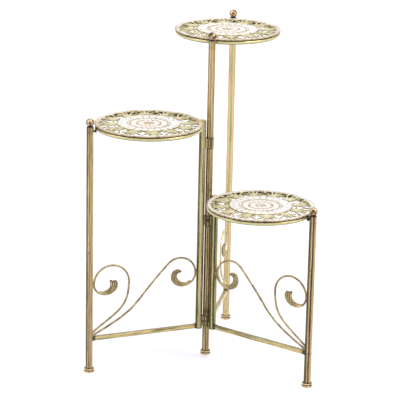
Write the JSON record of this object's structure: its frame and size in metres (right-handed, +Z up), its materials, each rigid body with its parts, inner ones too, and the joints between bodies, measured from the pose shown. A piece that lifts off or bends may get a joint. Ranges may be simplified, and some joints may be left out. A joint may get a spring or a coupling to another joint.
{
  "type": "tiered plant stand",
  "caption": "Free-standing plant stand of hinged tubular panels with scrolls, each carrying a round openwork tray at its own height that tilts up for storage.",
  "frame": {"origin": "middle of the stand's footprint, on the floor it stands on", "axes": "+Z up; +Y from the centre post towards the rear post of the tallest panel; +X to the right seen from the front"},
  "size_m": [0.5224, 0.4936, 0.7723],
  "materials": {
    "tube_paint": "semi-gloss antique gold paint streaked with green and brown along the tube",
    "cast_paint": "semi-gloss antique gold paint with dark brown in the grooves",
    "scroll_paint": "semi-gloss olive bronze paint with green in the flutes",
    "tray_paint": "whitewashed cream over olive gold, worn through on the raised leaves",
    "ring_paint": "semi-gloss green-gold paint",
    "hinge_paint": "satin olive bronze paint"
  },
  "bodies": {
    "rear_panel": {"centre_post": "tube_paint", "rear_post": "tube_paint", "centre_ball": "cast_paint", "rear_ball": "cast_paint", "centre_foot": "cast_paint", "rear_foot": "cast_paint", "rear_rail": "tube_paint", "rear_large_scroll": "scroll_paint", "rear_small_scroll": "scroll_paint", "rear_large_leaf": "scroll_paint", "rear_small_leaf": "scroll_paint"},
    "top_tray": {"top_tray_plate": "tray_paint", "top_tray_ring": "ring_paint", "top_tray_outer_pivot": "hinge_paint", "top_tray_inner_pivot": "hinge_paint"},
    "middle_panel": {"middle_inner_post": "tube_paint", "middle_outer_post": "tube_paint", "middle_inner_cap": "cast_paint", "middle_ball": "cast_paint", "middle_foot": "cast_paint", "middle_rail": "tube_paint", "middle_upper_sleeve": "hinge_paint", "middle_lower_sleeve": "hinge_paint", "middle_large_scroll": "scroll_paint", "middle_small_scroll": "scroll_paint", "middle_large_leaf": "scroll_paint", "middle_small_leaf": "scroll_paint"},
    "middle_tray": {"middle_tray_plate": "tray_paint", "middle_tray_ring": "ring_paint", "middle_tray_outer_pivot": "hinge_paint", "middle_tray_inner_pivot": "hinge_paint"},
    "low_panel": {"low_inner_post": "tube_paint", "low_outer_post": "tube_paint", "low_inner_cap": "cast_paint", "low_ball": "cast_paint", "low_foot": "cast_paint", "low_rail": "tube_paint", "low_upper_sleeve": "hinge_paint", "low_lower_sleeve": "hinge_paint", "low_large_scroll": "scroll_paint", "low_small_scroll": "scroll_paint", "low_large_leaf": "scroll_paint", "low_small_leaf": "scroll_paint"},
    "low_tray": {"low_tray_plate": "tray_paint", "low_tray_ring": "ring_paint", "low_tray_outer_pivot": "hinge_paint", "low_tray_inner_pivot": "hinge_paint"}
  },
  "joints": [
    {"name": "middle_panel_swing", "type": "hinge", "parent": "rear_panel", "child": "middle_panel", "pos_m": [-0.0087, -0.03357, 0.3], "axis": [0, 0, 1], "range_deg": [-75, 30]},
    {"name": "low_panel_swing", "type": "hinge", "parent": "rear_panel", "child": "low_panel", "pos_m": [-0.0087, -0.03357, 0.3], "axis": [0, 0, 1], "range_deg": [-30, 68]},
    {"name": "top_tray_tilt", "type": "hinge", "parent": "rear_panel", "child": "top_tray", "pos_m": [-0.0087, 0.10043, 0.742], "axis": [0, -1, 0], "range_deg": [0, 90]},
    {"name": "middle_tray_tilt", "type": "hinge", "parent": "middle_panel", "child": "middle_tray", "pos_m": [-0.1366, -0.11662, 0.5665], "axis": [-0.8387, -0.5446, 0], "range_deg": [0, 90]},
    {"name": "low_tray_tilt", "type": "hinge", "parent": "low_panel", "child": "low_tray", "pos_m": [0.12836, -0.10042, 0.391], "axis": [-0.8988, 0.4384, 0], "range_deg": [0, 90]}
  ]
}
